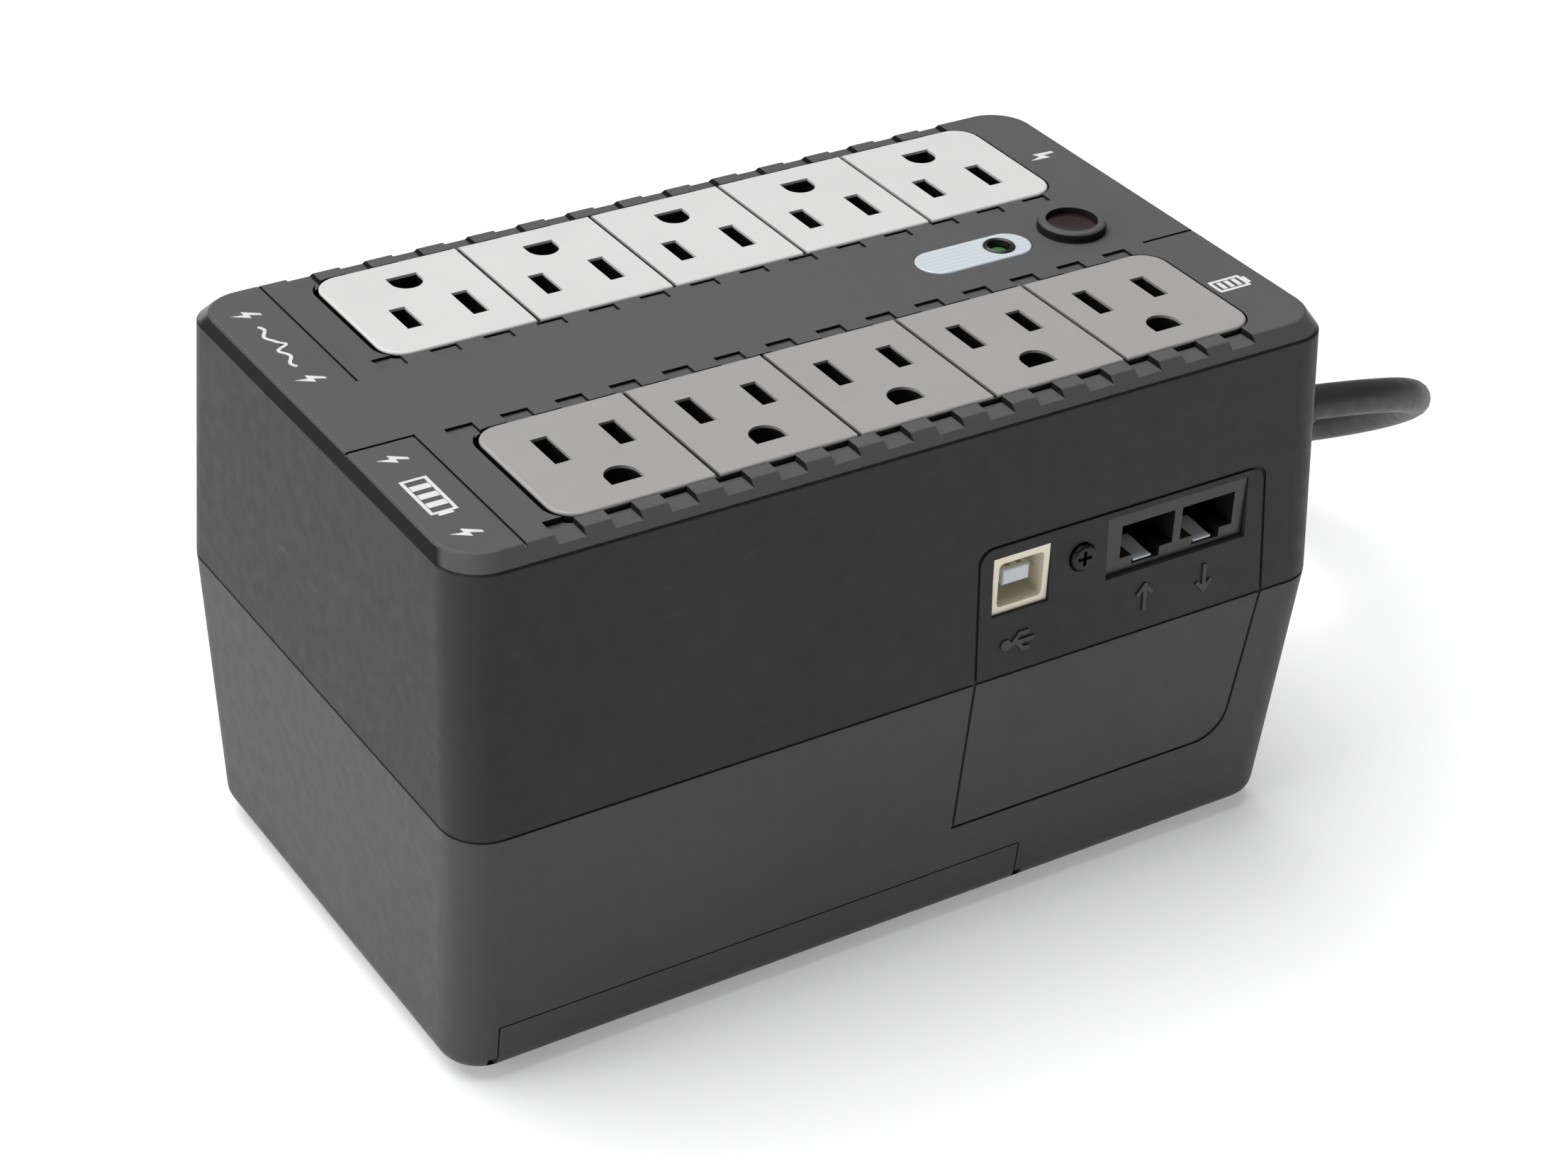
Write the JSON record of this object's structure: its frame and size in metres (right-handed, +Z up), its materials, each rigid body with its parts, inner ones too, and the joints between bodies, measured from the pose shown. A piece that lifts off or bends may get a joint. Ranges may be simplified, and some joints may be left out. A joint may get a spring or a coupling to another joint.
{
  "type": "uninterruptible power supply",
  "caption": "Compact boxy standby power supply with two banks of grounded outlets on top, a lit power button, data ports, a battery door and a coiled mains cord.",
  "frame": {"origin": "centre of the footprint of the housing, on the surface that the feet stand on", "axes": "+X points to the cord end along the outlet rows, +Z is up, -Y is the side with the data ports"},
  "size_m": [0.257, 0.2178, 0.1099],
  "materials": {
    "housing": "fine satin texture, moulded",
    "white_plate": "satin",
    "gray_plate": "satin",
    "inner_plastic": "matte",
    "foot_rubber": "matte",
    "screw_steel": "zinc plated",
    "button_plastic": "glossy",
    "circuit_board": "solder mask",
    "label_plastic": "satin",
    "lens_green": "clear green",
    "relay_plastic": "glossy",
    "capacitor_sleeve": "glossy sleeve",
    "heat_sink": "extruded",
    "copper_wire": "enamelled wire",
    "varistor": "epoxy coated",
    "fuse_glass": "clear",
    "core_steel": "varnished laminations",
    "winding": "taped winding",
    "bracket_steel": "plated",
    "battery_case": "matte",
    "pad_foam": "foam",
    "lead_red": "insulation",
    "lead_black": "insulation",
    "port_shell": "plated shell",
    "port_tongue": "satin",
    "jack_plastic": "matte",
    "contact_gold": "gold plated",
    "black_screw": "black oxide",
    "breaker_white": "glossy",
    "tie_fabric": "hook and loop",
    "cord_rubber": "matte jacket",
    "blade_brass": "plated",
    "contact_brass": "stamped"
  },
  "bodies": {
    "housing": {"backup_ground_bus": "contact_brass", "backup_hot_bus": "contact_brass", "backup_neutral_bus": "contact_brass", "backup_outlet_body": "inner_plastic", "backup_outlet_plate": "gray_plate", "battery": "battery_case", "battery_lead_black": "lead_black", "battery_lead_red": "lead_red", "battery_pads": "pad_foam", "battery_tabs": "screw_steel", "board_screws": "screw_steel", "bottom_case": "housing", "bracket_screws": "screw_steel", "breaker_body": "inner_plastic", "breaker_nut": "screw_steel", "buzzer": "inner_plastic", "case_feet": "foot_rubber", "case_screws": "screw_steel", "control_board": "circuit_board", "cord_coil": "cord_rubber", "cord_tail": "cord_rubber", "cord_tie": "tie_fabric", "filter_capacitors": "capacitor_sleeve", "fuse": "fuse_glass", "fuse_clips": "screw_steel", "heat_sink": "heat_sink", "interface_board": "circuit_board", "interface_screw": "black_screw", "jack_contacts": "contact_gold", "jack_housing": "jack_plastic", "line_choke": "copper_wire", "main_board": "circuit_board", "plug_blades": "blade_brass", "plug_body": "cord_rubber", "power_cord": "cord_rubber", "power_switch": "inner_plastic", "power_transistors": "inner_plastic", "relays": "relay_plastic", "status_label": "label_plastic", "status_lamp": "lens_green", "status_lens": "lens_green", "strain_relief": "cord_rubber", "surge_ground_bus": "contact_brass", "surge_hot_bus": "contact_brass", "surge_neutral_bus": "contact_brass", "surge_outlet_body": "inner_plastic", "surge_outlet_plate": "white_plate", "surge_varistors": "varistor", "top_cover": "housing", "transformer_bracket": "bracket_steel", "transformer_core": "core_steel", "transformer_winding": "winding", "usb_shell": "port_shell", "usb_tongue": "port_tongue"},
    "power_button": {"power_button": "button_plastic", "switch_plunger": "inner_plastic"},
    "battery_door": {"battery_door": "housing", "door_feet": "foot_rubber"},
    "breaker_button": {"breaker_button": "breaker_white"}
  },
  "joints": [
    {"name": "power_button_press", "type": "slide", "parent": "housing", "child": "power_button", "axis": [0, 0, -1], "range_m": [0, 0.0015], "stiffness_N_per_m": 600},
    {"name": "battery_door_slide", "type": "slide", "parent": "housing", "child": "battery_door", "axis": [0, -1, 0], "range_m": [0, 0.098]},
    {"name": "breaker_trip", "type": "slide", "parent": "housing", "child": "breaker_button", "axis": [1, 0, 0], "range_m": [0, 0.003]}
  ]
}
